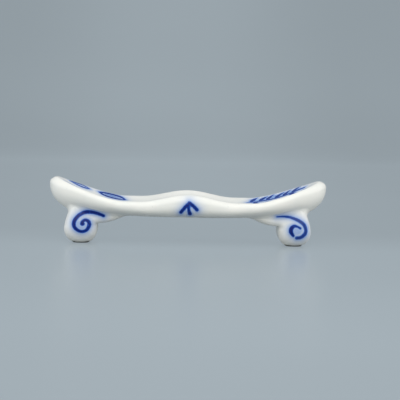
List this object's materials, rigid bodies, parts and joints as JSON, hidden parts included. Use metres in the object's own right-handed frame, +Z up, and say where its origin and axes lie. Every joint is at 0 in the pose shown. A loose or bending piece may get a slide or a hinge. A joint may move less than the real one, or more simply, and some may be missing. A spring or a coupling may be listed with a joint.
{
  "type": "knife rest",
  "caption": "Long dished porcelain bar with upturned ends on two scroll feet, made to hold a knife or cutlery clear of the table.",
  "frame": {"origin": "on the table, under the middle of the bar", "axes": "+X along the bar towards its right end, -Y towards the front as pictured, +Z up"},
  "size_m": [0.0976, 0.0256, 0.0229],
  "materials": {
    "bar_glaze": "glossy clear glaze over white porcelain, with brushed cobalt blue under the glaze",
    "foot_glaze": "glossy clear glaze over white porcelain, with a brushed cobalt blue spiral, and bare biscuit where it stands",
    "slip": "porcelain slip, smoothed and glazed over with the rest"
  },
  "bodies": {
    "root": {"bar": "bar_glaze", "left_scroll_foot": "foot_glaze", "right_scroll_foot": "foot_glaze", "left_slip_seam": "slip", "right_slip_seam": "slip"}
  },
  "joints": []
}
